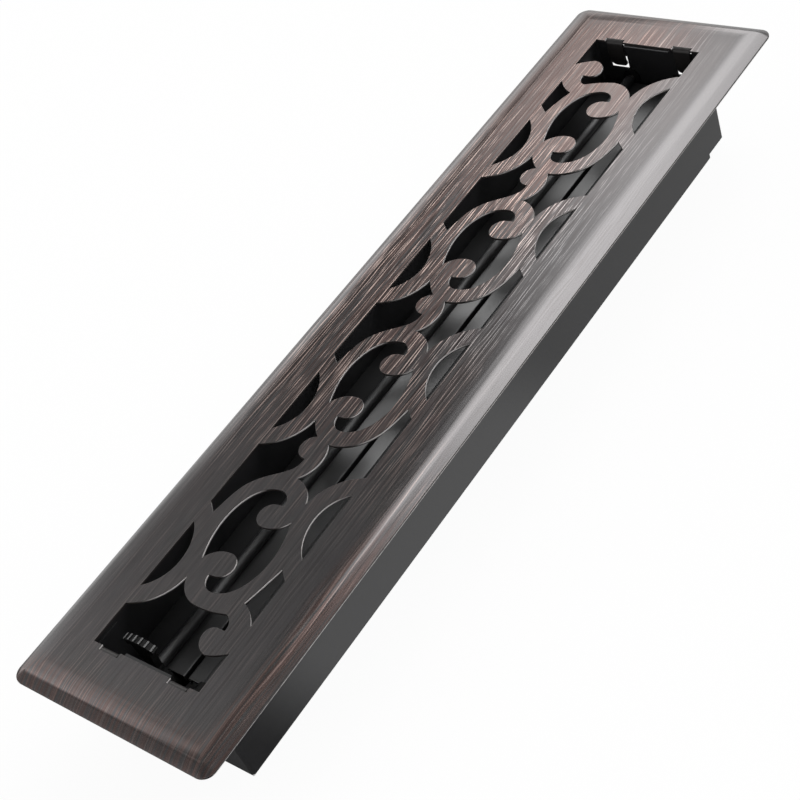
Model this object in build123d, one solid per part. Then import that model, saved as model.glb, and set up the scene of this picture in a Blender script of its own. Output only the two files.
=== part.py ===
"""Floor register: a stamped scroll face plate over a folded damper box with two linked blades.

Millimetres. X runs across the register, Y along it, Z up. The origin is at the middle of the box's
bottom, and the blades are closed.
"""
from build123d import *
from math import cos, radians, sin, sqrt
import os

# Face plate
plate_length = 393.7
plate_width = 95.25
plate_sheet = 1.0
plate_rise = 4.2          # rim's lower edge to the top face
plate_corner = 5.0
rim_width = 11.0
rim_edge = 0.9            # height of the sheet's cut edge at the rim
end_border = 23.95         # rim's edge to the grille's opening, at the ends
side_border = 22.225       # and along the sides
motif_pitch = 77.6
motif_count = 4
near_curl_reach = 2.1     # the near end's curl stands this much further out than the far end's

# Hook tabs, bent down out of the face plate at the ends of the opening
tab_width = 8.0
tab_spacing = 33.2
tab_length = 13.6         # plate's top face to the tab's free end
tab_bend = 1.0            # inside radius
tab_relief = 0.5          # slit beside the tab
tab_kick = 1.3            # how far the free end leans out, into its window
tab_kick_length = 4.2
tab_corner = 2.4

# Damper box
box_depth = 44.45         # below the rim's lower edge
wall_setback = 2.1        # grille's opening to the side wall's outside
wall_sheet = 0.7
wall_bend = 0.8           # inside radius
wall_clearance = 0.1      # end wall to tab
hem_width = 6.0
lap_length = 12.0
lap_notch = 2.0
lap_top_gap = 2.6
window_clearance = 0.4
window_below = 0.9        # open strip under the tab's free end
window_height = 6.4
tab_notch_depth = 1.6
lip_width = 2.4
lip_length = 22.0

# Blades and pivot rods
blade_sheet = 0.7
blade_side_gap = 0.5      # blade to lap flange
blade_joint_gap = 1.6     # blade to blade
blade_near_gap = 10.5     # room for the lever and the link at the near end wall
blade_far_gap = 2.5
blade_corner = 2.0
blade_lip = 2.2           # stiffening fold along the joint
bead_radius = 2.2
bead_slit = 0.4
rod_radius = 1.5
rod_clearance = 0.05
pivot_inset = 15.1        # side wall's inside to the rod's axis
pivot_depth = 18.7        # below the plate's top face

# Bushes in the end walls
bush_radius = 2.6
bush_flange_radius = 4.0
bush_flange = 1.0
bush_tail = 0.7           # beyond the wall's outside
rod_tail = 0.2            # beyond the bush
bush_seat_clearance = 0.05

# Thumb lever, cranks and link
lever_radius = 16.5
lever_thickness = 2.7
lever_gap = 0.5           # blade to lever
lever_half_angle = 27.0
lever_rim = 2.3
lever_waist = 4.4
lever_flare = 9.0         # width of the waist where it meets the rim
ridge_count = 6
ridge_step = 9.3          # degrees
ridge_width = 0.7
ridge_height = 0.5
hub_radius = 3.2
crank_radius = 8.5
crank_angle = 40.0        # from straight down towards +X at rest
crank_eye = 2.6
crank_thickness = 1.8
link_thickness = 1.4
link_half_width = 2.6
link_side_gap = 0.2
pin_radius = 1.2
pin_clearance = 0.05
pin_seat_clearance = 0.02
pin_head_radius = 1.9
pin_head = 0.6

# Levels and places worked out from the sizes above
seat_z = box_depth
top_z = seat_z + plate_rise
under_z = top_z - plate_sheet
half_length = plate_length / 2
half_width = plate_width / 2
opening_length = plate_length - 2 * end_border
opening_width = plate_width - 2 * side_border
rim_drop = plate_rise - rim_edge
rim_radius = (rim_width**2 + rim_drop**2) / (2 * rim_drop)
opening_end = opening_length / 2
end_inside = opening_end + plate_sheet + wall_clearance
end_outside = end_inside + wall_sheet
side_outside = opening_width / 2 + wall_setback
side_inside = side_outside - wall_sheet
pivot_z = top_z - pivot_depth
pivot_x = side_inside - pivot_inset
pivot_spacing = 2 * pivot_x
blade_near = -end_inside + blade_near_gap
blade_far = end_inside - blade_far_gap
bush_inside = end_inside - bush_flange
rod_end = end_outside + bush_tail + rod_tail
lever_far = blade_near - lever_gap
lever_near = lever_far - lever_thickness
link_far = lever_near - link_side_gap / 2
link_near = link_far - link_thickness
crank_far = link_near - link_side_gap
crank_near = crank_far - crank_thickness
crank_reach_x = crank_radius * sin(radians(crank_angle))
crank_reach_z = crank_radius * cos(radians(crank_angle))
hub_near = -bush_inside + link_side_gap
OUTSIDE = opening_width / 2 + 4.6    # outlines run out to here, past the opening's long edges


def block(x0, x1, y0, y1, z0, z1):
    """Box between two corners."""
    return Pos((x0 + x1) / 2, (y0 + y1) / 2, (z0 + z1) / 2) * Box(x1 - x0, y1 - y0, z1 - z0)


def rod_between(radius, x, y0, y1, z):
    """Cylinder along Y."""
    return Pos(x, (y0 + y1) / 2, z) * Rot(90, 0, 0) * Cylinder(radius, y1 - y0)


def across(profile, y0, y1):
    """Extrude a face drawn in X and Z along Y, from y0 to y1."""
    return Pos(0, y1, 0) * Rot(90, 0, 0) * extrude(profile, y1 - y0)


def along(profile, x0, x1):
    """Extrude a face drawn in Y and Z along X, from x0 to x1."""
    return Pos(x0, 0, 0) * Rot(0, 0, 90) * Rot(90, 0, 0) * extrude(profile, x1 - x0)


def half_turn(points):
    return [(-x, -y) for x, y in points]


def shifted(points, dy):
    return [(x, y + dy) for x, y in points]


# Face plate: the rolled rim

def dome_profile(half, base, gap, edge_z):
    """Face under the plate's surface at one cross section; gap is the depth below the top face."""
    radius = rim_radius - gap
    flat_z = plate_rise - gap
    drop = flat_z - edge_z
    reach = sqrt(radius**2 - (radius - drop)**2)
    flat = half - rim_width
    turn = sqrt(radius**2 - (reach / 2)**2) - radius
    right = ThreePointArc((flat + reach, edge_z), (flat + reach / 2, flat_z + turn), (flat, flat_z))
    left = ThreePointArc((-flat, flat_z), (-flat - reach / 2, flat_z + turn), (-flat - reach, edge_z))
    edge = flat + reach
    foot = Polyline((-edge, edge_z), (-edge, base), (edge, base), (edge, edge_z))
    return make_face(right + Line((flat, flat_z), (-flat, flat_z)) + left + foot), reach


def corner_profile(base, gap, edge_z, reach):
    """Face that is turned about the corner's axis to make one rounded corner of the rim."""
    radius = rim_radius - gap
    flat_z = plate_rise - gap
    start = rim_width - plate_corner
    middle = (start + reach) / 2
    points = [(s - start, flat_z - radius + sqrt(radius**2 - s**2)) for s in (start, middle, reach)]
    foot = Polyline(points[2], (reach - start, base), (0, base), points[0])
    return make_face(ThreePointArc(*points) + foot)


def dome(base, gap, edge_z):
    """Solid from the base up to the plate's surface, with mitred rims and rounded corners."""
    cross, reach = dome_profile(half_width, base, gap, edge_z)
    lengthwise, reach = dome_profile(half_length, base, gap, edge_z)
    body = across(cross, -half_length - reach, half_length + reach)
    body &= along(lengthwise, -half_width - reach, half_width + reach)
    corner_x = half_width - plate_corner
    corner_y = half_length - plate_corner
    turned = revolve(Rot(90, 0, 0) * corner_profile(base, gap, edge_z, reach), Axis.Z, 90)
    outer = 2 * rim_width
    square = block(0, outer, 0, outer, base - outer, outer)
    for sx, sy, angle in ((1, 1, 0), (-1, 1, 90), (-1, -1, 180), (1, -1, 270)):
        place = Pos(sx * corner_x, sy * corner_y, 0) * Rot(0, 0, angle)
        body -= place * square
        body += place * turned
    return body


# Face plate: the scroll's cut-outs, drawn about the middle of one motif

hook_tip = (3.6, 17.6)
ring_top = (-1.0, 29.9)
ring_shoulder = (6.3, 27.7)
ring_notch = (11.0, 21.6)          # between the ring and the side crescent
slit_tip = (-21.1, 5.4)            # lower end of the slit beside the ring
slit_out = (-OUTSIDE, 13.2)
crescent_waist = (18.3, 17.3)
crescent_ends = ((25.6, 31.4), (25.6, 0.6))
band_middle = (16.6, 33.6)         # outer edge of the crescent's band
band_out = (OUTSIDE, 40.6)


def eye_half():
    """Half of the ring's inner outline, from one hook tip to the other."""
    hook_top = (-2.2, 23.1)
    throat = (-11.1, -12.6)
    curl_foot = (-2.0, -6.85)
    curl_head = (-0.6, -17.3)
    far_tip = (-hook_tip[0], -hook_tip[1])
    hook = ThreePointArc(hook_tip, (2.05, 21.4), hook_top)
    side = Spline(hook_top, (-9.3, 20.0), (-14.1, 10.5), (-14.6, 1.0), throat)
    curl = ThreePointArc(throat, (-7.3, -8.35), curl_foot)
    disc = ThreePointArc(curl_foot, (3.72, -12.2), curl_head)
    return hook + side + curl + disc + Line(curl_head, far_tip)


def eye():
    half = eye_half()
    return make_face(half + Rot(0, 0, 180) * half)


def crescent():
    """Opening between a side crescent and the long edge, on the +X side."""
    upper = TangentArc(crescent_waist, crescent_ends[0], tangent=(0, 1))
    lower = TangentArc(crescent_waist, crescent_ends[1], tangent=(0, -1))
    beyond = [(OUTSIDE, end[1]) for end in crescent_ends]
    out = Polyline(crescent_ends[0], beyond[0], beyond[1], crescent_ends[1])
    return make_face(upper + lower + out)


def left_gap():
    """Opening on the -X side between a motif and the next one down."""
    notch, band, out = half_turn([ring_notch, band_middle, band_out])
    bud_top = (-4.9, -28.5)
    bud_foot = (-2.9, -39.0)
    upper, lower, tip, beyond = shifted([(-10.0, 28.1), (-17.5, 20.0), slit_tip, slit_out], -motif_pitch)
    ring = ThreePointArc(notch, (-8.1, -25.6), bud_top)
    bud = ThreePointArc(bud_top, (-8.75, -34.0), bud_foot)
    stem = Spline(bud_foot, (-4.1, -44.1), upper, lower, (-20.2, 10.5 - motif_pitch), tip)
    return make_face(ring + bud + stem + Polyline(tip, beyond, out) + ThreePointArc(out, band, notch))


def right_gap():
    """Opening on the +X side between a motif and the next one down."""
    stem_head = (2.0, -30.4)
    stem_foot = (0.0, 29.95 - motif_pitch)
    shoulder, notch, band, out = shifted([ring_shoulder, ring_notch, band_middle, band_out], -motif_pitch)
    tip, beyond = half_turn([slit_tip, slit_out])
    stem = ThreePointArc(stem_head, (4.2, -37.0), stem_foot)
    ring_above = Spline(tip, (20.3, -10.5), (17.6, -19.8), (12.6, -26.2), (7.5, -29.2), stem_head)
    return make_face(stem + ThreePointArc(stem_foot, shoulder, notch) + ThreePointArc(notch, band, out)
                     + Polyline(out, beyond, tip) + ring_above)


def end_gap(reach):
    """Opening from the last motif to the end of the grille, with the end curl on the -X side.

    reach moves the curl towards the end of the grille.
    """
    curl_out, brow, curl_top, cheek, curl_nose = shifted(
        [(-OUTSIDE, 33.4), (-23.2, 39.9), (-17.5, 42.3), (-12.7, 40.0), (-11.0, 36.0)], reach)
    lip, curl_chin, curl_corner, throat, hollow = shifted(
        [(-11.9, 33.1), (-14.6, 31.7), (-17.8, 31.8), (-16.9, 28.2), (-13.6, 26.2)], reach)
    curl = ThreePointArc(curl_out, brow, curl_top)
    curl += ThreePointArc(curl_top, cheek, curl_nose)
    curl += ThreePointArc(curl_nose, lip, curl_chin)
    curl += Line(curl_chin, curl_corner)
    curl += ThreePointArc(curl_corner, throat, hollow)
    ring = Spline(hollow, (-7.5, 28.6 + reach / 2), ring_top)
    ring += ThreePointArc(ring_top, ring_shoulder, ring_notch)
    band = ThreePointArc(ring_notch, band_middle, band_out)
    out = Polyline(band_out, (OUTSIDE, half_length), (-OUTSIDE, half_length), curl_out)
    return make_face(curl + ring + band + out)


def end_slit(reach):
    """Opening under the end curl, beside the last motif's ring."""
    corner, under, stem_out = shifted([(-17.2, 19.8), (-22.3, 22.8), (-27.2, 30.5)], reach)
    under_curl = ThreePointArc(stem_out, under, corner)
    ring = ThreePointArc(corner, (-19.4, 13.0), slit_tip)
    return make_face(under_curl + ring + Polyline(slit_tip, slit_out, (-OUTSIDE, stem_out[1]), stem_out))


def scroll_cutouts():
    """Every opening of the grille, as faces placed on the plate."""
    centres = [(index - (motif_count - 1) / 2) * motif_pitch for index in range(motif_count)]
    faces = []
    for y in centres:
        faces += [Pos(0, y) * eye(), Pos(0, y) * crescent(), Pos(0, y) * Rot(0, 0, 180) * crescent()]
    for y in centres[1:]:
        faces += [Pos(0, y) * left_gap(), Pos(0, y) * right_gap()]
    for turn, reach in ((0, 0), (180, near_curl_reach)):
        place = Rot(0, 0, turn) * Pos(0, centres[-1])
        faces += [place * end_gap(reach), place * end_slit(reach)]
    return faces


def tab_profile():
    """Side view of a hook tab at the +Y end, in Y and Z: bend, leg and outward kick."""
    inner = opening_end
    outer = inner + plate_sheet
    bend_y = outer + tab_bend
    bend_z = top_z - plate_sheet - tab_bend
    big = tab_bend + plate_sheet
    tip_z = top_z - tab_length
    kick_z = tip_z + tab_kick_length
    c = cos(radians(45))
    over = ThreePointArc((inner, bend_z), (bend_y - big * c, bend_z + big * c), (bend_y, top_z))
    back = Polyline((bend_y, top_z), (bend_y, under_z))
    inside_middle = (bend_y - tab_bend * c, bend_z + tab_bend * c)
    inside = ThreePointArc((bend_y, under_z), inside_middle, (outer, bend_z))
    leg = Polyline((outer, bend_z), (outer, kick_z), (outer + tab_kick, tip_z), (inner + tab_kick, tip_z),
                   (inner, kick_z), (inner, bend_z))
    return make_face(over + back + inside + leg)


def hook_tab():
    """Hook tab at the +Y end, centred on X."""
    tab = along(tab_profile(), -tab_width / 2, tab_width / 2)
    tip_edges = tab.edges().filter_by(Axis.X, reverse=True).group_by(Axis.Z)[0]
    low = [edge for edge in tip_edges if abs(edge.center().X) > tab_width / 2 - 0.01]
    return fillet(low, tab_corner)


def face_plate():
    plate = dome(0, 0, rim_edge) - dome(-plate_rise, plate_sheet, -rim_edge)
    opening = block(-opening_width / 2, opening_width / 2, -opening_end, opening_end, 0, plate_rise + 1)
    for face in scroll_cutouts():
        plate -= extrude(face, plate_rise + 1) & opening
    plate = Pos(0, 0, seat_z) * plate
    half_slot = tab_width / 2 + tab_relief
    bend_end = opening_end + plate_sheet + tab_bend
    slot = block(-half_slot, half_slot, opening_end - 1, bend_end, under_z - 1, top_z + 1)
    tab = hook_tab()
    for turn in (0, 180):
        for x in (-tab_spacing / 2, tab_spacing / 2):
            place = Rot(0, 0, turn) * Pos(x, 0, 0)
            plate -= place * slot
            plate += place * tab
    return plate


# Damper box

def box_half():
    """Right side wall and near end wall, folded from one sheet, with a hem and a lap flange."""
    side = block(side_inside, side_outside, -end_outside, end_outside, 0, under_z)
    end = block(-side_inside, side_outside, -end_outside, -end_inside, 0, under_z)
    lap = block(-side_inside, -side_inside + wall_sheet, -end_outside, -end_inside + lap_length,
                lap_notch, under_z - lap_top_gap)
    half = side + end
    bend_edges = half.edges().filter_by(Axis.Z)
    outside_bend = [e for e in bend_edges
                    if abs(e.center().X - side_outside) < 0.01 and abs(e.center().Y + end_outside) < 0.01]
    half = fillet(outside_bend, wall_bend + wall_sheet)
    bend_edges = half.edges().filter_by(Axis.Z)
    inside_bend = [e for e in bend_edges
                   if abs(e.center().X - side_inside) < 0.01 and abs(e.center().Y + end_inside) < 0.01]
    half = fillet(inside_bend, wall_bend)
    lap_edge = -side_inside + wall_sheet
    half -= block(-side_outside, lap_edge, -end_outside, -end_inside, 0, lap_notch)
    half -= block(-side_outside, lap_edge, -end_outside, -end_inside, under_z - lap_top_gap, under_z)
    half += lap
    half -= block(side_inside, side_outside, end_outside - lap_length, end_outside, 0, lap_notch)
    half += block(side_outside - hem_width, side_outside, -end_inside + wall_bend, end_outside - lap_length,
                  0, wall_sheet)
    half += block(-lip_length / 2, lip_length / 2, -end_inside, -end_inside + lip_width,
                  under_z - wall_sheet, under_z)
    slot = tab_width / 2 + window_clearance
    window_low = top_z - tab_length - window_below
    through = (-end_outside - 1, -end_inside + 1)
    for x in (-tab_spacing / 2, tab_spacing / 2):
        half -= block(x - slot, x + slot, *through, window_low, window_low + window_height)
        half -= block(x - slot, x + slot, *through, under_z - tab_notch_depth, under_z + 1)
    for x in (-pivot_x, pivot_x):
        half -= rod_between(bush_radius + bush_seat_clearance, x, -end_outside - 1, -end_inside + 1, pivot_z)
    return half


def bush(x, turn):
    """Flanged bush in an end wall; the flange is inside the box."""
    body = rod_between(bush_radius, x, -end_outside - bush_tail, -bush_inside, pivot_z)
    body += rod_between(bush_flange_radius, x, -end_inside, -bush_inside, pivot_z)
    body -= rod_between(rod_radius + rod_clearance, x, -half_length, half_length, pivot_z)
    return Rot(0, 0, turn) * body


# Blades and rods

def blade(wall_side, joint_side):
    """Blade about its rod's axis: a flat sheet pinched into a bead, with a fold along the joint edge.

    wall_side and joint_side are the distances from the axis to the blade's two long edges, signed along X.
    """
    low = min(wall_side, joint_side)
    high = max(wall_side, joint_side)
    flat_low = -bead_radius
    inward = 1 if wall_side > joint_side else -1
    fold = sorted((joint_side, joint_side + inward * blade_sheet))
    sheet = block(low, high, blade_near, blade_far, flat_low, flat_low + blade_sheet)
    corners = [e for e in sheet.edges().filter_by(Axis.Z) if abs(e.center().X - wall_side) < 0.01]
    sheet = fillet(corners, blade_corner)
    sheet += block(fold[0], fold[1], blade_near, blade_far, flat_low - blade_lip, flat_low + blade_sheet)
    top_edge = [e for e in sheet.edges().filter_by(Axis.Y)
                if abs(e.center().X - joint_side) < 0.01 and e.center().Z > flat_low]
    sheet = fillet(top_edge, blade_sheet)
    sheet += rod_between(bead_radius, 0, blade_near, blade_far, 0)
    sheet -= rod_between(rod_radius + rod_clearance, 0, blade_near - 1, blade_far + 1, 0)
    sheet -= block(-bead_slit / 2, bead_slit / 2, blade_near - 1, blade_far + 1, -2 * bead_radius, 0)
    return sheet


# Lever, cranks, link and pins, drawn about the rod's axis in X and Z

def capsule(x, z, radius):
    """Arm outline from the axis to an eye at (x, z)."""
    return make_hull((Circle(radius) + Pos(x, z) * Circle(radius)).edges())


def lever_outline():
    """Waist, ridged rim and crank arm of the thumb lever."""
    half = radians(lever_half_angle)
    inner = lever_radius - lever_rim
    rim_ends = [(r * sin(side * half), r * cos(half)) for r, side in
                ((lever_radius, -1), (lever_radius, 1), (inner, 1), (inner, -1))]
    top = ThreePointArc(rim_ends[0], (0, lever_radius), rim_ends[1])
    under = ThreePointArc(rim_ends[2], (0, inner), rim_ends[3])
    rim = make_face(top + Line(rim_ends[1], rim_ends[2]) + under + Line(rim_ends[3], rim_ends[0]))
    flare = lever_flare / 2
    waist = lever_waist / 2
    web_top = lever_radius - lever_rim / 2
    web = make_face(Polyline((-waist, 0), (waist, 0), (flare, web_top), (-flare, web_top), close=True))
    outline = rim + web + capsule(crank_reach_x, -crank_reach_z, crank_eye)
    for index in range(ridge_count):
        angle = (index - (ridge_count - 1) / 2) * ridge_step
        outline += Rot(0, 0, angle) * Pos(0, lever_radius) * Rectangle(ridge_width, 2 * ridge_height)
    return outline


def placed(shape, x):
    """Move a piece drawn about a rod's axis onto the rod at x."""
    return Pos(x, 0, pivot_z) * shape


def rod_bore(shape):
    """Cut the rod's seat through a piece drawn about the rod's axis."""
    return shape - rod_between(rod_radius + pin_seat_clearance, 0, -half_length, half_length, 0)


def pin_bore(shape):
    """Cut the link pin's seat through a crank's eye."""
    seat = pin_radius + pin_seat_clearance
    return shape - rod_between(seat, crank_reach_x, -half_length, half_length, -crank_reach_z)


def thumb_lever():
    lever = across(lever_outline(), lever_near, lever_far)
    lever += rod_between(hub_radius, 0, hub_near, lever_far, 0)
    return pin_bore(rod_bore(lever))


def crank():
    arm = capsule(crank_reach_x, -crank_reach_z, crank_eye)
    body = across(arm, crank_near, crank_far) + rod_between(hub_radius, 0, hub_near, lever_far, 0)
    return pin_bore(rod_bore(body))


def link_bar():
    """Flat bar between the two crank pins, drawn about the left rod's axis."""
    bar = make_hull((Circle(link_half_width) + Pos(pivot_spacing, 0) * Circle(link_half_width)).edges())
    body = Pos(crank_reach_x, 0, -crank_reach_z) * across(bar, link_near, link_far)
    for x in (crank_reach_x, crank_reach_x + pivot_spacing):
        body -= rod_between(pin_radius + pin_clearance, x, link_near - 1, link_far + 1, -crank_reach_z)
    return body


def link_pin(seat_end, head_face, away):
    """Pin from its seat through the link; the head lies on the link's free side."""
    ends = sorted((seat_end, head_face + away * pin_head))
    head = sorted((head_face, head_face + away * pin_head))
    pin = rod_between(pin_radius, crank_reach_x, ends[0], ends[1], -crank_reach_z)
    return pin + rod_between(pin_head_radius, crank_reach_x, head[0], head[1], -crank_reach_z)


right_half = box_half()
joint_side = pivot_x - blade_joint_gap / 2
wall_reach = side_inside - wall_sheet - blade_side_gap - pivot_x
head_gap = link_side_gap / 2

pieces = {
    "face_plate": face_plate(),
    "box_half_right": right_half,
    "box_half_left": Rot(0, 0, 180) * right_half,
    "bush_near_left": bush(-pivot_x, 0),
    "bush_near_right": bush(pivot_x, 0),
    "bush_far_left": bush(pivot_x, 180),
    "bush_far_right": bush(-pivot_x, 180),
    "blade_left": placed(blade(-wall_reach, joint_side), -pivot_x),
    "rod_left": rod_between(rod_radius, -pivot_x, -rod_end, rod_end, pivot_z),
    "thumb_lever": placed(thumb_lever(), -pivot_x),
    "link_pin_left": placed(link_pin(lever_far, link_near - head_gap, -1), -pivot_x),
    "blade_right": placed(blade(wall_reach, -joint_side), pivot_x),
    "rod_right": rod_between(rod_radius, pivot_x, -rod_end, rod_end, pivot_z),
    "crank_right": placed(crank(), pivot_x),
    "link_pin_right": placed(link_pin(crank_near, link_far + head_gap, 1), pivot_x),
    "link_bar": placed(link_bar(), -pivot_x),
}

os.makedirs("parts", exist_ok=True)
for name, shape in pieces.items():
    export_step(shape, f"parts/{name}.step")
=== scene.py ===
"""Looks of the floor register: brushed bronze scroll plate, satin black damper box and blades, studio."""

import bmesh
import bpy
from mathutils import Matrix, Vector


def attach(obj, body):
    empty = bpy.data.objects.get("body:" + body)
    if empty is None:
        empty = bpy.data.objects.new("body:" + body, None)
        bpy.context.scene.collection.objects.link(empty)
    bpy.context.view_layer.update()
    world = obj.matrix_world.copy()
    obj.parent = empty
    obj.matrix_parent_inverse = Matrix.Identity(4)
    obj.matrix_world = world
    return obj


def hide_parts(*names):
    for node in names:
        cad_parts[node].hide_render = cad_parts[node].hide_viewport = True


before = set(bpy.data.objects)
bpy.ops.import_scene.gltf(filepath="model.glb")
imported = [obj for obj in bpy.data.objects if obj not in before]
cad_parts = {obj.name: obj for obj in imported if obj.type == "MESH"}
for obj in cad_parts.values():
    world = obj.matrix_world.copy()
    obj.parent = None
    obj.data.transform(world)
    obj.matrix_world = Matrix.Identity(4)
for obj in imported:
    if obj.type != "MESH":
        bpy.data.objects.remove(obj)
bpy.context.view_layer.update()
scene = bpy.context.scene
scene.view_settings.view_transform = "Standard"

MM = 0.001

# Sizes of the part. Left is -X, right is +X, near is -Y, far is +Y.
PLATE_HALF_WIDTH = 47.625 * MM
PLATE_HALF_LENGTH = 196.85 * MM
PLATE_TOP = 48.65 * MM
PLATE_SHEET = 1.0 * MM
RIM_DROP = 3.3 * MM
RIM_SEAT = 44.45 * MM        # lower corner of the rim's cut edge
GRILLE_HALF_WIDTH = 25.4 * MM
GRILLE_HALF_LENGTH = 172.9 * MM
TAB_PLACE = 16.6 * MM
TAB_HALF_WIDTH = 4.0 * MM
TAB_BEND_LENGTH = 2.0 * MM
BOX_HALF_WIDTH = 27.5 * MM
BOX_HALF_LENGTH = 174.7 * MM
LAP_REACH = 14.0 * MM        # floor seen through the notch under the far lap
LAP_INSET = 5.0 * MM
PIVOT_X = 11.7 * MM
PIVOT_Z = 29.95 * MM
BEAD_RADIUS = 2.2 * MM
JOINT_FOLD = 1.8 * MM
LEVER_RADIUS = 16.5 * MM

# Breaking and shading of edges
PLATE_BREAK = 0.18 * MM
SHEET_BREAK = 0.10 * MM
PLASTIC_BREAK = 0.18 * MM
BREAK_STEPS = 2
MERGE_WITHIN = 0.000002      # metres
FLAT_WITHIN = 0.004          # radians
SHARP_FROM = 0.6             # radians
SMOOTH_TO = 0.64             # cosine of the largest angle that is shaded as round


# Shader building

COLOUR_A = 6                 # sockets of the mix node that hold colours
COLOUR_B = 7
COLOUR_RESULT = 2
NOISE_LOW = 0.3              # usual range of a noise
NOISE_HIGH = 0.7


class Graph:
    """A node tree, with short calls for the nodes that the finishes and the studio share."""

    def __init__(self, tree):
        self.tree = tree

    def node(self, kind, **settings):
        made = self.tree.nodes.new(kind)
        for key, value in settings.items():
            setattr(made, key, value)
        return made

    def feed(self, socket, value):
        """Link a socket to another node's output, or set it to a constant."""
        if isinstance(value, bpy.types.NodeSocket):
            self.tree.links.new(value, socket)
        else:
            socket.default_value = value

    def math(self, operation, first, second=0.0, third=None):
        node = self.node("ShaderNodeMath", operation=operation)
        self.feed(node.inputs[0], first)
        self.feed(node.inputs[1], second)
        if third is not None:
            self.feed(node.inputs[2], third)
        return node.outputs[0]

    def product(self, first, *others):
        for other in others:
            first = self.math("MULTIPLY", first, other)
        return first

    def total(self, first, *others):
        for other in others:
            first = self.math("ADD", first, other)
        return first

    def larger(self, first, second):
        return self.math("MAXIMUM", first, second)

    def less(self, value, share=1.0):
        """1 minus a share of a value."""
        return self.math("MULTIPLY_ADD", value, -share, 1.0)

    def span(self, value, low, high, to_low=0.0, to_high=1.0):
        """Smooth step of a value from one level to another."""
        node = self.node("ShaderNodeMapRange", interpolation_type="SMOOTHSTEP")
        self.feed(node.inputs["Value"], value)
        for key, number in (("From Min", low), ("From Max", high), ("To Min", to_low), ("To Max", to_high)):
            node.inputs[key].default_value = number
        return node.outputs["Result"]

    def split(self, vector):
        node = self.node("ShaderNodeSeparateXYZ")
        self.feed(node.inputs[0], vector)
        return node.outputs

    def blend(self, factor, first, second):
        """Mix of two colours."""
        node = self.node("ShaderNodeMix", data_type="RGBA")
        self.feed(node.inputs["Factor"], factor)
        self.feed(node.inputs[COLOUR_A], first)
        self.feed(node.inputs[COLOUR_B], second)
        return node.outputs[COLOUR_RESULT]

    def rays(self):
        """Two switches: 1 for what the camera sees, and 1 for what the part mirrors."""
        kinds = self.node("ShaderNodeLightPath").outputs
        seen = self.larger(kinds["Is Camera Ray"], kinds["Is Transmission Ray"])
        return seen, kinds["Is Glossy Ray"]


class Finish(Graph):
    """A material under construction."""

    def __init__(self, name):
        self.material = bpy.data.materials.new(name)
        self.material.use_nodes = True
        super().__init__(self.material.node_tree)
        self.shader = self.tree.nodes["Principled BSDF"]
        coordinates = self.node("ShaderNodeTexCoord")
        self.place = coordinates.outputs["Object"]
        self.facing = coordinates.outputs["Normal"]

    def set(self, **values):
        """Feed the shader's sockets, named with underscores for spaces."""
        for key, value in values.items():
            self.feed(self.shader.inputs[key.replace("_", " ")], value)

    def noise(self, scale, detail=3.0, roughness=0.55, offset=(0, 0, 0)):
        """Noise on the piece's own coordinates; scale is features per metre along X, Y and Z."""
        mapping = self.node("ShaderNodeMapping")
        self.feed(mapping.inputs["Vector"], self.place)
        mapping.inputs["Scale"].default_value = scale
        mapping.inputs["Location"].default_value = offset
        noise = self.node("ShaderNodeTexNoise")
        self.feed(noise.inputs["Vector"], mapping.outputs["Vector"])
        noise.inputs["Scale"].default_value = 1.0
        noise.inputs["Detail"].default_value = detail
        noise.inputs["Roughness"].default_value = roughness
        return noise.outputs["Fac"]

    def lines(self, per_metre, drift):
        """Noise that runs in lines along Y and wanders with drift, a slow noise."""
        across = self.split(self.place)[0]
        noise = self.node("ShaderNodeTexNoise", noise_dimensions="1D")
        self.feed(noise.inputs["W"], self.math("MULTIPLY_ADD", across, per_metre, drift))
        noise.inputs["Scale"].default_value = 1.0
        noise.inputs["Detail"].default_value = 1.0
        return noise.outputs["Fac"]

    def follow(self, noise, low, high):
        """A level that follows a noise from low to high."""
        return self.span(noise, NOISE_LOW, NOISE_HIGH, low, high)

    def bump(self, height, strength, distance):
        node = self.node("ShaderNodeBump")
        self.feed(node.inputs["Strength"], strength)
        node.inputs["Distance"].default_value = distance
        self.feed(node.inputs["Height"], height)
        self.feed(self.shader.inputs["Normal"], node.outputs["Normal"])


def colour(red, green, blue):
    return (red, green, blue, 1.0)


def grey(level, blue=1.0):
    return (level, level, level * blue, 1.0)


# Finishes

BRONZE = colour(0.106, 0.102, 0.103)
PITTED = colour(0.036, 0.028, 0.026)
# In pairs: neutral and warm
# The next pair is the far end's lighter tone: painted light
FAR_LIT_TONES = (colour(0.135, 0.127, 0.127), colour(0.172, 0.140, 0.132))
UMBER = (colour(0.118, 0.108, 0.108), colour(0.150, 0.103, 0.094))
COPPER = (colour(0.66, 0.63, 0.63), colour(0.82, 0.62, 0.55))
# Cut edges: the dark tone is painted shade, the pale tone a painted highlight
EDGE_SHADE = colour(0.020, 0.017, 0.016)
EDGE_HIGHLIGHT = colour(0.66, 0.63, 0.62)
# Pale line along the rim's lower corner: painted highlight
RIM_EDGE_HIGHLIGHT = colour(0.42, 0.40, 0.39)
# Tones of the tabs and the plate's underside: painted shade
TAB_SHADE_TONES = (colour(0.016, 0.015, 0.015), colour(0.030, 0.027, 0.026))
PAINT_BLUE = 1.06            # blue of the black paint against its red and green
STEEL_BLUE = 0.97
# Each pair: where the painted highlight on a cut edge sets in, and where it is full
EDGE_INSET = (0.4 * MM, 0.9 * MM)     # in from the grille's left side
EDGE_HIGHLIGHT_DROP = (0.65 * MM, 0.35 * MM)     # below the plate's top
RIM_HIGHLIGHT_RISE = (0.5 * MM, 0.3 * MM)        # above the rim's seat
DISHED = 9.5 * MM            # half width of the blades' strips between the two beads
PEEL = 0.005 * MM            # height of the paint's orange peel


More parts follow.
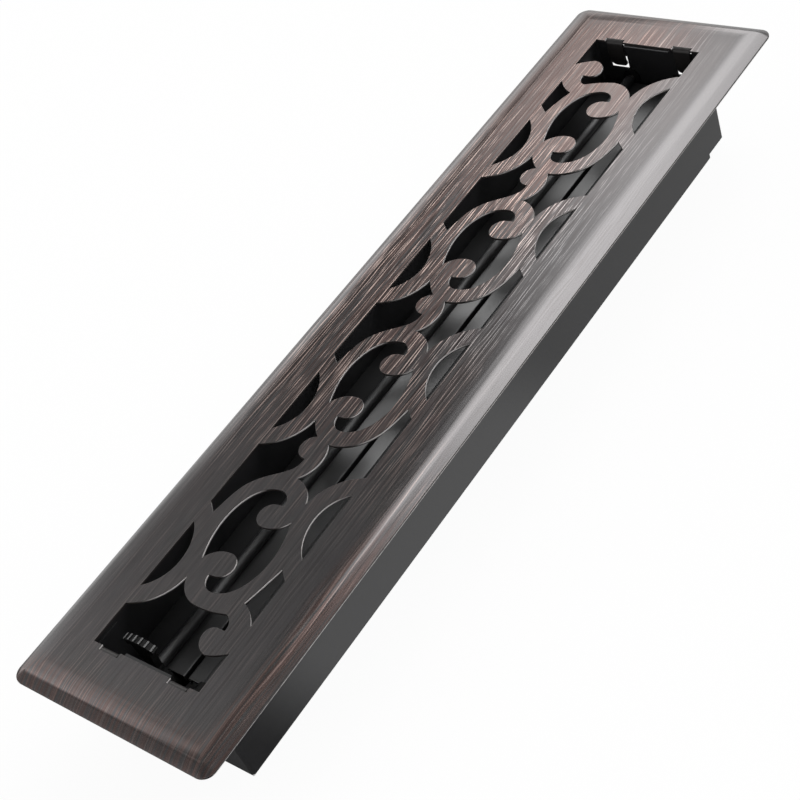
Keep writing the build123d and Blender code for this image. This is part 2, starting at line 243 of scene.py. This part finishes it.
def brushed_bronze():
    """Dark oil-rubbed coat brushed along Y; copper shows in streaks from the middle to the far end. The
    lighter far end is painted light; the near end and the left and far rims are darkened partly as painted
    shade.
    """
    f = Finish("brushed_bronze")
    x, y, _ = f.split(f.place)

    # Grain: hair lines that wander and break, wider brush marks, and slow patches
    wander = f.noise((260, 16, 16), detail=1.0, offset=(0.2, 5.0, 0.6))
    broken = f.noise((1900, 75, 75), detail=1.5, offset=(7.0, 1.1, 0.3))
    hair = f.total(f.product(f.lines(1600, f.product(wander, 6.0)), 0.55), f.product(broken, 0.45))
    brush = f.noise((900, 20, 20), detail=2.0, offset=(3.1, 0.7, 1.9))
    patch = f.noise((90, 24, 24), detail=2.0, offset=(0.4, 2.3, 0.0))
    worn = f.math("MULTIPLY_ADD", f.math("SUBTRACT", patch, 0.5), 0.12, hair)

    # Where the coat is rubbed: from the middle to the far end, less to the right and on the right rim. Less
    # on the left and far rims is painted shade, and the few streaks at the near end are partly painted
    # shade.
    along = f.span(y, -0.110, 0.000, 0.06, 1.0)
    right = f.product(f.span(x, 0.012, 0.036), f.span(y, -0.060, 0.050, 0.40, 0.75))
    right_rim = f.product(f.span(x, 0.0345, 0.0395), f.span(y, -0.095, -0.045, 0.3, 0.97))
    # Painted shade: the left and far rims get less copper and keep the darker tone
    left_rim = f.span(x, -0.0385, -0.0445, 1.0, 0.25)
    far_rim = f.span(y, 0.176, 0.190, 1.0, 0.45)
    rims = f.product(left_rim, far_rim, f.less(right_rim))
    rubbed = f.product(along, f.less(right), rims)

    # Brown shows there too, and on the near rim and the near part of the right rim
    near_rim = f.span(y, -0.181, -0.191, 0.0, 0.8)
    side_rim = f.product(f.span(x, 0.036, 0.042, 0.0, 0.9), f.span(y, -0.060, -0.130))
    warm_rims = f.larger(near_rim, side_rim)

    # Colours are neutral at the right of the far half, and warm elsewhere
    warmth = f.larger(f.span(x, 0.032, -0.004), f.span(y, 0.010, -0.050))

    # The far end is given a lighter, even tone and fainter streaks: painted light where the panel over it
    # lights it
    far = f.span(y, 0.050, 0.140)
    lit_far_fade = f.less(far, 0.72)

    brown = f.product(f.span(brush, 0.36, 0.62), f.larger(rubbed, warm_rims))
    copper_share = f.larger(f.product(rubbed, lit_far_fade), f.product(warm_rims, 0.10))
    copper = f.product(f.span(worn, 0.545, 0.635), copper_share)
    pits = f.product(f.span(hair, 0.495, 0.40), f.span(rubbed, 0.0, 1.0, 0.2, 0.85), lit_far_fade)
    # Painted light: the far flat, except on the left and far rims, takes the lighter tone
    base = f.blend(f.product(far, rims), BRONZE, f.blend(warmth, *FAR_LIT_TONES))
    base = f.blend(brown, base, f.blend(warmth, *UMBER))
    base = f.blend(pits, base, PITTED)
    base = f.blend(copper, base, f.blend(warmth, *COPPER))
    f.set(Base_Color=base, Metallic=0.8, Roughness=f.follow(hair, 0.17, 0.23))
    tilt = f.product(f.span(rubbed, 0.0, 1.0, 0.08, 0.24), lit_far_fade, f.less(right_rim, 0.6))
    f.bump(hair, strength=tilt, distance=0.06 * MM)
    return f.material


def stamped_edge():
    """Cut edges of the scroll: a painted highlight along the top of the sides that face right, and a dark
    coat that is painted shade elsewhere.
    """
    f = Finish("stamped_edge")
    mottle = f.noise((260, 120, 260), detail=3.0)
    x, _, z = f.split(f.place)
    rightward = f.split(f.facing)[0]
    start, full = EDGE_INSET
    inner = f.span(x, -GRILLE_HALF_WIDTH + start, -GRILLE_HALF_WIDTH + full)
    start, full = EDGE_HIGHLIGHT_DROP
    upper = f.span(z, PLATE_TOP - start, PLATE_TOP - full, 0.12, 1.0)
    # Painted highlight on the sides that face right, strongest at the top
    painted_highlight = f.product(f.span(rightward, 0.50, 0.85), f.span(mottle, 0.25, 0.50, 0.6, 1.0), inner, upper)
    f.set(Base_Color=f.blend(painted_highlight, EDGE_SHADE, EDGE_HIGHLIGHT), Metallic=0.0, Roughness=0.40)
    return f.material


def rim_edge():
    """Cut edge round the rim: dark above as painted shade, with a painted highlight along its lower corner.
    """
    f = Finish("rim_edge")
    grain = f.noise((400, 400, 400), detail=2.0)
    height = f.split(f.place)[2]
    start, full = RIM_HIGHLIGHT_RISE
    lower = f.span(height, RIM_SEAT + start, RIM_SEAT + full)
    # Painted highlight along the lower corner; the rest of the edge is painted shade
    painted_highlight = f.product(lower, f.span(grain, 0.30, 0.55, 0.6, 1.0))
    f.set(Base_Color=f.blend(painted_highlight, EDGE_SHADE, RIM_EDGE_HIGHLIGHT), Metallic=0.2, Roughness=0.40)
    return f.material


def tab_shade_coat():
    """Unbrushed dark coat on the hook tabs and under the plate, darkened as painted shade."""
    f = Finish("tab_shade_coat")
    grain = f.noise((500, 500, 500), detail=2.0)
    f.set(Base_Color=f.blend(grain, *TAB_SHADE_TONES), Metallic=0.3, Roughness=f.follow(grain, 0.36, 0.46))
    f.bump(grain, strength=0.06, distance=0.04 * MM)
    return f.material


def satin_black(name, depth=0.016, roughness=0.32, gloss=0.5, dish=0.0):
    """Sprayed satin black paint with a faint orange peel; dish is the slope of the blades' inner strips."""
    f = Finish(name)
    peel = f.noise((900, 900, 900), detail=2.0)
    cloud = f.noise((38, 12, 38), detail=3.0, offset=(1.0, 0.0, 2.0))
    tone = f.blend(cloud, grey(depth * 0.8, PAINT_BLUE), grey(depth * 1.25, PAINT_BLUE))
    f.set(Base_Color=tone, Roughness=f.follow(cloud, roughness - 0.03, roughness + 0.04),
          Specular_IOR_Level=gloss)
    height = f.product(peel, PEEL)
    if dish:
        # The strips lean one way at the near end and the other way beyond it, and flatten to the far end
        x, y, _ = f.split(f.place)
        strip = f.larger(f.math("MINIMUM", x, DISHED), -DISHED)
        slope = f.product(f.span(y, -0.125, -0.045, 0.4 * dish, -dish), f.span(y, 0.050, 0.130, 1.0, 0.3))
        height = f.math("MULTIPLY_ADD", strip, slope, height)
    f.bump(height, strength=1.0, distance=1.0)
    return f.material


def bare_sheet():
    """Sheared ends of the painted sheets, rubbed down to the steel."""
    f = Finish("bare_sheet")
    mottle = f.noise((300, 300, 300), detail=3.0)
    f.set(Base_Color=f.blend(f.span(mottle, 0.35, 0.60), grey(0.10), grey(0.30)), Metallic=0.4, Roughness=0.42)
    return f.material


def drawn_steel():
    """Bright steel of the rods and pins, with lines along Y from drawing."""
    f = Finish("drawn_steel")
    line = f.noise((4000, 60, 4000), detail=2.0)
    f.set(Base_Color=f.blend(line, grey(0.20, STEEL_BLUE), grey(0.36, STEEL_BLUE)), Metallic=1.0,
          Roughness=f.follow(line, 0.30, 0.42))
    f.bump(line, strength=0.08, distance=0.03 * MM)
    return f.material


def moulded_plastic(name, depth=0.006, gloss=0.15):
    """Fine-grained plastic of the lever, the crank and the bushes."""
    f = Finish(name)
    grain = f.noise((2200, 2200, 2200), detail=2.0)
    f.set(Base_Color=f.blend(grain, grey(depth * 0.7), grey(depth * 1.4)),
          Roughness=f.follow(grain, 0.46, 0.58), Specular_IOR_Level=gloss)
    f.bump(grain, strength=0.10, distance=0.04 * MM)
    return f.material


# Pieces

def dressed(node, material):
    """Give a CAD node its finish."""
    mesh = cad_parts[node].data
    mesh.materials.clear()
    mesh.materials.append(material)


def softened(node, name, body, finishes, edge_break, choose=None):
    """Copy of a CAD node with its sharp edges broken; choose(face) picks a finish for each face."""
    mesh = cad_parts[node].data.copy()
    mesh.name = name
    mesh.materials.clear()
    for finish in finishes:
        mesh.materials.append(finish)
    work = bmesh.new()
    work.from_mesh(mesh)
    bmesh.ops.remove_doubles(work, verts=work.verts, dist=MERGE_WITHIN)
    bmesh.ops.dissolve_limit(work, angle_limit=FLAT_WITHIN, verts=work.verts, edges=work.edges)
    edges = [e for e in work.edges if len(e.link_faces) == 2 and e.calc_face_angle(0.0) > SHARP_FROM]
    bmesh.ops.bevel(work, geom=edges, offset=edge_break, offset_type="OFFSET", segments=BREAK_STEPS,
                    profile=0.5, affect="EDGES", clamp_overlap=True)

    # Corner normals follow the large faces, so that the flats shade flat up to the broken edges
    weight = work.faces.layers.float.new("weight")
    for face in work.faces:
        face[weight] = face.calc_area()
    bmesh.ops.triangulate(work, faces=work.faces)
    work.normal_update()
    normals = []
    for face in work.faces:
        face.smooth = True
        face.material_index = choose(face) if choose else 0
        for corner in face.loops:
            normal = Vector()
            for other in corner.vert.link_faces:
                if other.normal.dot(face.normal) > SMOOTH_TO:
                    normal += other.normal * other[weight]
            normals.append(normal.normalized())
    work.faces.layers.float.remove(weight)
    work.to_mesh(mesh)
    work.free()
    mesh.normals_split_custom_set(normals)

    piece = bpy.data.objects.new(name, mesh)
    scene.collection.objects.link(piece)
    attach(piece, body)
    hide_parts(node)


# Places of the finishes in each piece's list
BRUSHED, STAMPED, TABS, RIM_CUT = range(4)
PAINT, SHEARED, SHADED, BEAD = range(4)
PLASTIC, RIDGE = range(2)

# Limits of the zones, with a little room for the broken edges
TAB_SIDE = TAB_HALF_WIDTH + 0.05 * MM
TAB_BEND = GRILLE_HALF_LENGTH + TAB_BEND_LENGTH     # where a tab leaves the flat sheet
TAB_BENT = TAB_BEND - 0.02 * MM
TAB_INNER = GRILLE_HALF_LENGTH - 0.1 * MM
TAB_OUTER = TAB_BEND + 1.6 * MM
TAB_LEVEL = PLATE_TOP - 1.5 * PLATE_SHEET
CUT_LEVEL = PLATE_TOP - RIM_DROP
UNDER_LEVEL = PLATE_TOP - 3.4 * MM
OUTLINE_SHARE = 0.994        # of the plate's half size
GRILLE_SIDE = GRILLE_HALF_WIDTH + 0.3 * MM
GRILLE_END = GRILLE_HALF_LENGTH + 2.2 * MM
BEAD_LEVEL = PIVOT_Z - 0.6 * BEAD_RADIUS
RIDGE_RADIUS = LEVER_RADIUS + 0.42 * MM
# Limits of a face normal's Z, and of its Y for the ends
FLAT_DOWN = -0.8
DOWNWARD = -0.3
FLAT_UP = 0.93
FOLDED = 0.60
ENDWISE = 0.8


def plate_finish(face):
    """Brushed coat on top, stamped edges in the grille, the rim's cut edge, and the tab coat, darkened as
    painted shade, on the tabs and the rest.
    """
    x, y, z = face.calc_center_median()
    across = abs(x)
    along = abs(y)
    if abs(across - TAB_PLACE) < TAB_SIDE and TAB_INNER < along < TAB_OUTER:
        if along < TAB_BENT or z < TAB_LEVEL:
            return TABS
    on_outline = max(across / PLATE_HALF_WIDTH, along / PLATE_HALF_LENGTH) > OUTLINE_SHARE
    if z < CUT_LEVEL and face.normal.z > FLAT_DOWN and on_outline:
        return RIM_CUT
    if face.normal.z < DOWNWARD or z < UNDER_LEVEL:
        return TABS
    in_grille = across < GRILLE_SIDE and along < GRILLE_END
    return STAMPED if in_grille and face.normal.z < FLAT_UP else BRUSHED


def sheet_finish(face):
    """Bare sheared ends, satin bead, a dull paint as painted shade outside the bead and on the joint fold,
    paint elsewhere.
    """
    x, _, z = face.calc_center_median()
    if abs(face.normal.y) > ENDWISE:
        return SHEARED
    if z > BEAD_LEVEL and abs(abs(x) - PIVOT_X) < BEAD_RADIUS:
        return BEAD
    on_fold = abs(x) < JOINT_FOLD and face.normal.z < FOLDED
    outside = abs(x) > PIVOT_X + BEAD_RADIUS
    return SHADED if on_fold or outside else PAINT


def lever_finish(face):
    """Plastic, and the tips of the ridges, painted pale as a painted highlight."""
    x, _, z = face.calc_center_median()
    return RIDGE if Vector((x + PIVOT_X, z - PIVOT_Z)).length > RIDGE_RADIUS else PLASTIC


coat = brushed_bronze()
box_paint = satin_black("box_paint")
blade_paint = satin_black("blade_paint", depth=0.010, roughness=0.42, gloss=0.8, dish=0.27)
link_paint = satin_black("link_paint", depth=0.014)
# Dull, darker paint: painted shade on the blades' outer strips and joint fold
shade_paint = satin_black("shade_paint", depth=0.008, roughness=0.50, gloss=0.2)
bead_paint = satin_black("bead_paint", depth=0.010, roughness=0.50, gloss=0.7)
sheet_edge = bare_sheet()
steel = drawn_steel()
lever_plastic = moulded_plastic("lever_plastic")
# Pale plastic on the ridge tips: painted highlight
ridge_highlight_plastic = moulded_plastic("ridge_highlight_plastic", depth=0.12)
bush_plastic = moulded_plastic("bush_plastic")

plate_finishes = [coat, stamped_edge(), tab_shade_coat(), rim_edge()]
blade_finishes = [blade_paint, sheet_edge, shade_paint, bead_paint]
lever_finishes = [lever_plastic, ridge_highlight_plastic]
softened("face_plate", "scroll_plate", "frame", plate_finishes, PLATE_BREAK, plate_finish)
softened("box_half_right", "right_box_half", "frame", [box_paint], SHEET_BREAK)
softened("box_half_left", "left_box_half", "frame", [box_paint], SHEET_BREAK)
softened("blade_left", "left_damper_blade", "left_blade", blade_finishes, SHEET_BREAK,
         sheet_finish)
softened("blade_right", "right_damper_blade", "right_blade", blade_finishes, SHEET_BREAK,
         sheet_finish)
softened("thumb_lever", "ridged_lever", "left_blade", lever_finishes, PLASTIC_BREAK,
         lever_finish)
softened("crank_right", "crank_arm", "right_blade", [lever_plastic], PLASTIC_BREAK)
softened("link_bar", "link_strip", "link", [link_paint], SHEET_BREAK)
for node in ("rod_left", "rod_right", "link_pin_left", "link_pin_right"):
    dressed(node, steel)
for node in ("bush_near_left", "bush_near_right", "bush_far_left", "bush_far_right"):
    dressed(node, bush_plastic)


# Studio

FLOOR_HALF = 6.0             # metres
FLOOR_GLOW = 0.95            # share of the floor's look that is its own light
# Levels of the lights
PANEL_LEFT = 2.95
PANEL_MORE = 2.5             # added to the panel from its middle to the right
BACKDROP = 1.5
STRIP = 1.2
FILL = 0.16
FILL_LEFT = 0.46
LOW_LIGHT = 0.95
# The camera, with the lens and the sensor in millimetres and the rest in metres
CAMERA_LENS = 70.77
CAMERA_SENSOR = 36.0
CAMERA_NEAREST = 0.01
CAMERA_PLACE = (0.34753, -0.30203, 0.43706)
CAMERA_VIEW = (-0.57898, 0.45453, -0.67689)
CAMERA_UP = (-0.24033, 0.69817, 0.67439)


def studio_floor():
    """Pale floor: white to the camera outside the box; the part mirrors it dark near and dimmer far off."""
    mesh = bpy.data.meshes.new("floor")
    corners = [(-FLOOR_HALF, -FLOOR_HALF, 0), (FLOOR_HALF, -FLOOR_HALF, 0),
               (FLOOR_HALF, FLOOR_HALF, 0), (-FLOOR_HALF, FLOOR_HALF, 0)]
    mesh.from_pydata(corners, [], [(0, 1, 2, 3)])
    floor = bpy.data.objects.new("floor", mesh)
    scene.collection.objects.link(floor)
    f = Finish("floor_paper")
    x, y, _ = f.split(f.place)
    f.set(Base_Color=grey(0.85), Roughness=0.9)
    at_lap = f.product(f.math("GREATER_THAN", y, BOX_HALF_LENGTH - LAP_REACH), LAP_INSET)
    across = f.total(f.math("ABSOLUTE", x), at_lap)
    inside = f.product(f.math("LESS_THAN", across, BOX_HALF_WIDTH),
                       f.math("LESS_THAN", f.math("ABSOLUTE", y), BOX_HALF_LENGTH))
    seen, glossy = f.rays()
    mirrored = f.product(f.span(y, -0.165, -0.122, 0.10, 1.0), f.span(y, -0.010, 0.040, 1.0, 0.62))
    glow = f.node("ShaderNodeEmission")
    f.feed(glow.inputs["Strength"], f.larger(seen, mirrored))
    mix = f.node("ShaderNodeMixShader")
    f.feed(mix.inputs[0], f.product(f.larger(seen, glossy), f.less(inside), FLOOR_GLOW))
    f.feed(mix.inputs[1], f.shader.outputs[0])
    f.feed(mix.inputs[2], glow.outputs[0])
    f.feed(f.tree.nodes["Material Output"].inputs["Surface"], mix.outputs[0])
    mesh.materials.append(f.material)


def studio_world():
    """White to the camera; to the part, soft lights that are zones of the direction x, y, z."""
    world = bpy.data.worlds.new("studio")
    scene.world = world
    world.use_nodes = True
    g = Graph(world.node_tree)
    x, y, z = g.split(g.node("ShaderNodeTexCoord").outputs["Generated"])

    # A large panel over the far end. Its lower edge is higher at the right, and it dims in its far right
    # corner and low at the far end.
    edge = g.total(g.span(x, -0.38, -0.13, 0.545, 0.345), g.span(x, -0.05, 0.12, 0.0, 0.090))
    front = g.span(g.math("SUBTRACT", y, edge), -0.07, 0.07)
    slant = g.math("MULTIPLY_ADD", y, -0.5, x)
    width = g.total(g.span(slant, -0.894, -0.814, 0.0, PANEL_LEFT),
                    g.span(x, -0.42, -0.22, 0.0, PANEL_MORE))
    height = g.math("SUBTRACT", z, g.span(x, -0.46, -0.26, 0.0, 0.17))
    corner = g.product(g.span(x, -0.05, 0.12), g.span(y, 0.60, 0.68))
    far_end = g.product(g.span(x, -0.55, -0.45), g.span(y, 0.63, 0.74), g.span(z, 0.68, 0.50))
    panel = g.product(front, width, g.span(height, 0.20, 0.42), g.less(corner, 0.27), g.less(far_end, 0.6))

    # A pale backdrop below the panel, and a strip at the left
    far_low = g.span(z, 0.50, 0.20, 0.0, BACKDROP)
    backdrop = g.product(far_low, g.span(y, 0.26, 0.44), g.span(y, 0.54, 0.68, 1.0, 0.6))
    strip = g.product(g.span(x, -0.22, -0.46, 0.0, STRIP), g.span(y, -0.22, 0.02), g.span(y, 0.28, 0.08))

    # A weak fill all round, stronger at the left, and a low light at the near end and the right
    fill = g.span(x, -0.50, -0.75, FILL, FILL_LEFT)
    beside = g.product(g.span(x, 0.52, 0.72), g.span(y, 0.45, 0.20))
    low = g.product(g.larger(g.span(y, -0.52, -0.72), beside), g.span(z, 0.80, 0.45), LOW_LIGHT)

    level = g.total(panel, backdrop, strip, fill, low)
    seen, _ = g.rays()
    back = world.node_tree.nodes["Background"]
    back.inputs["Color"].default_value = grey(1.0)
    g.feed(back.inputs["Strength"], g.total(g.product(level, g.less(seen)), seen))


def photo_camera():
    """Camera at the photograph's viewing angle."""
    camera = bpy.data.cameras.new("camera")
    camera.lens = CAMERA_LENS
    camera.sensor_width = CAMERA_SENSOR
    camera.clip_start = CAMERA_NEAREST
    seat = bpy.data.objects.new("camera", camera)
    view = Vector(CAMERA_VIEW).normalized()
    right = view.cross(Vector(CAMERA_UP)).normalized()
    up = right.cross(view)
    turn = Matrix((right, up, -view)).transposed()
    seat.matrix_world = Matrix.Translation(CAMERA_PLACE) @ turn.to_4x4()
    scene.collection.objects.link(seat)
    scene.camera = seat


studio_floor()
studio_world()
photo_camera()
